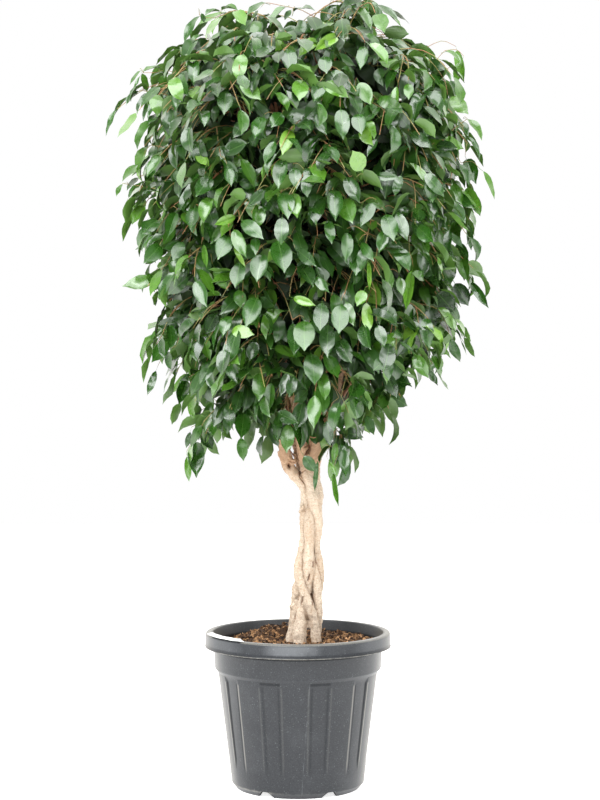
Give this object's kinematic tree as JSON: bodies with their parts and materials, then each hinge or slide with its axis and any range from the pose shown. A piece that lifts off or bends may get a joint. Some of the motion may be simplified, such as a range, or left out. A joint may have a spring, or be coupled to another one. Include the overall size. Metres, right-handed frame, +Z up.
{
  "type": "potted weeping fig",
  "caption": "Weeping fig with a plaited pale trunk and a drooping leafy crown, growing in soil in a round fluted nursery pot that stands on the floor.",
  "frame": {"origin": "centre of the pot's foot ring, on the surface that the pot stands on", "axes": "+Z up along the pot's axis, -Y towards the front that the picture shows, +X to the right seen from there"},
  "size_m": [0.9237, 0.8827, 1.9006],
  "materials": {
    "pot_plastic": "satin, anthracite grey",
    "potting_soil": "rough, reddish brown coir and peat",
    "label_paper": "matt white",
    "bark": "pale tan smooth bark",
    "leaf": "glossy dark green"
  },
  "bodies": {
    "root": {"pot": "pot_plastic", "soil": "potting_soil", "rim_label": "label_paper", "trunk": "bark", "spray_01": "leaf", "spray_02": "leaf", "spray_03": "leaf", "spray_04": "leaf", "spray_05": "leaf", "spray_06": "leaf", "spray_07": "leaf", "spray_08": "leaf", "spray_09": "leaf", "spray_10": "leaf", "spray_11": "leaf", "spray_12": "leaf", "spray_13": "leaf", "spray_14": "leaf", "spray_15": "leaf", "spray_16": "leaf", "spray_17": "leaf", "spray_18": "leaf", "spray_19": "leaf", "spray_20": "leaf", "spray_21": "leaf", "spray_22": "leaf", "spray_23": "leaf", "spray_24": "leaf", "spray_25": "leaf", "spray_26": "leaf", "spray_27": "leaf", "spray_28": "leaf", "spray_29": "leaf", "spray_30": "leaf", "spray_31": "leaf", "spray_32": "leaf", "spray_33": "leaf", "spray_34": "leaf", "spray_35": "leaf", "spray_36": "leaf", "spray_37": "leaf", "spray_38": "leaf", "spray_39": "leaf", "spray_40": "leaf", "spray_41": "leaf", "spray_42": "leaf", "spray_43": "leaf", "spray_44": "leaf"}
  },
  "joints": []
}
